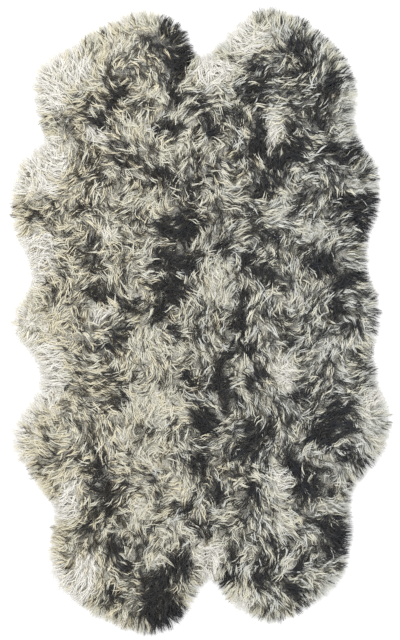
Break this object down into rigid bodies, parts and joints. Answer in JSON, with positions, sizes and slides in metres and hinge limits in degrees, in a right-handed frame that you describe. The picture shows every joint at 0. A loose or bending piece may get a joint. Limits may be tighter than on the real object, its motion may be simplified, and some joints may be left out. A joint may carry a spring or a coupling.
{
  "type": "sheepskin shag rug",
  "caption": "Long-wool sheepskin floor rug with a lobed outline, sewn from pelts laid side by side and end to end: deep dark-tipped cream wool on tanned hide.",
  "frame": {"origin": "on the floor, under the middle of the rug's bounding box", "axes": "+Y along the rug's length, +X across it to the right as seen from above with +Y up, +Z up out of the wool"},
  "size_m": [1.1328, 1.8576, 0.066],
  "materials": {
    "wool": "long curly wool, cream at the root with black and charcoal tips in patches",
    "hide": "tanned sheep hide, flesh side out, matte suede"
  },
  "bodies": {
    "root": {"hide_far_left": "hide", "hide_far_right": "hide", "hide_near_left": "hide", "hide_near_right": "hide", "fleece_far_left": "wool", "fleece_far_right": "wool", "fleece_near_left": "wool", "fleece_near_right": "wool"}
  },
  "joints": []
}
